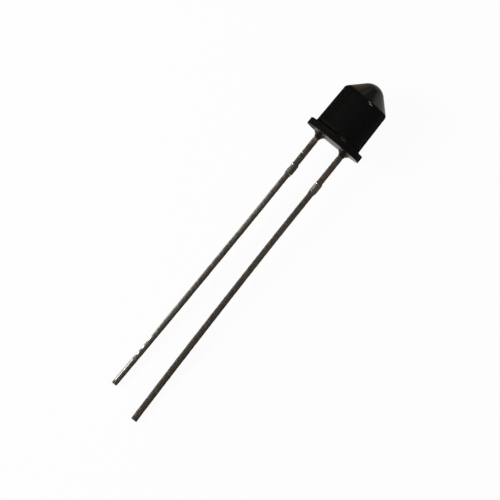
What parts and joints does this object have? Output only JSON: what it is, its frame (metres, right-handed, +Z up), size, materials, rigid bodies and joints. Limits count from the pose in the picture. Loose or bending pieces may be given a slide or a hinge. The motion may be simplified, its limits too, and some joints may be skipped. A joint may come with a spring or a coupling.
{
  "type": "phototransistor",
  "caption": "Radial-lead phototransistor: black infrared-pass epoxy body with a flange, a round barrel and a conical nose with a small lens, on long square leads.",
  "frame": {"origin": "centre of the seating plane, which is the underside of the flange", "axes": "+Z up as the part lies at rest on its flange rim and its two lead ends; +X along the optical axis towards the dome, which tilts up by 5.1 degrees; +Y towards the collector, the shorter lead"},
  "size_m": [0.0342, 0.0054, 0.0054],
  "materials": {
    "ir_epoxy": "glossy cast epoxy, dyed black, passes infrared and a trace of deep red where thin",
    "solder_dipped_lead": "steel lead frame with a thin, dull, tarnished solder dip",
    "silicon": "polished silicon",
    "silver_epoxy": "silver-filled epoxy adhesive",
    "gold_wire": "bright gold wire"
  },
  "bodies": {
    "root": {"epoxy_body": "ir_epoxy", "collector_lead": "solder_dipped_lead", "emitter_lead": "solder_dipped_lead", "phototransistor_die": "silicon", "die_attach": "silver_epoxy", "bond_wire": "gold_wire"}
  },
  "joints": []
}
